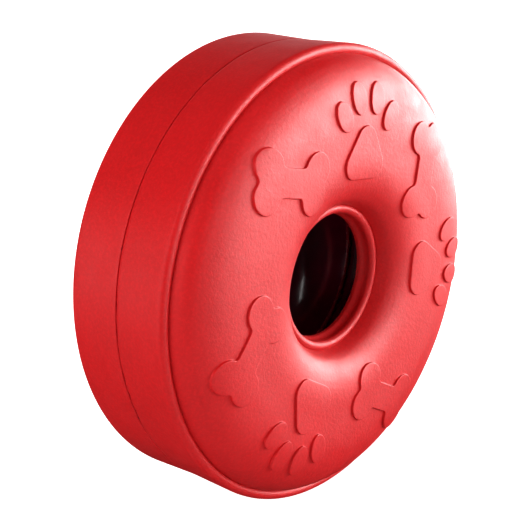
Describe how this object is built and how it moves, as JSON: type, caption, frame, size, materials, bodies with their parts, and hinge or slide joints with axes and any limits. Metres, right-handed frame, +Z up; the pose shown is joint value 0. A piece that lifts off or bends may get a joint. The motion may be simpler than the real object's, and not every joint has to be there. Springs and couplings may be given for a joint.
{
  "type": "hollow rubber ring toy",
  "caption": "Thick moulded rubber ring with domed faces, raised bone and paw motifs, a beaded lip round the bore and a barrel-shaped treat cavity inside.",
  "frame": {"origin": "centre of the bore, which is the centre of the whole ring", "axes": "+Y along the bore axis, away from the front face, which looks along -Y; +Z up as the ring stands on its tread; +X to the right as seen from the front"},
  "size_m": [0.0956, 0.0384, 0.0956],
  "materials": {
    "red_rubber": "satin outside, glossy inside the cavity",
    "bond_rubber": "satin"
  },
  "bodies": {
    "root": {"front_half": "red_rubber", "rear_half": "red_rubber", "seam_bond": "bond_rubber"}
  },
  "joints": []
}
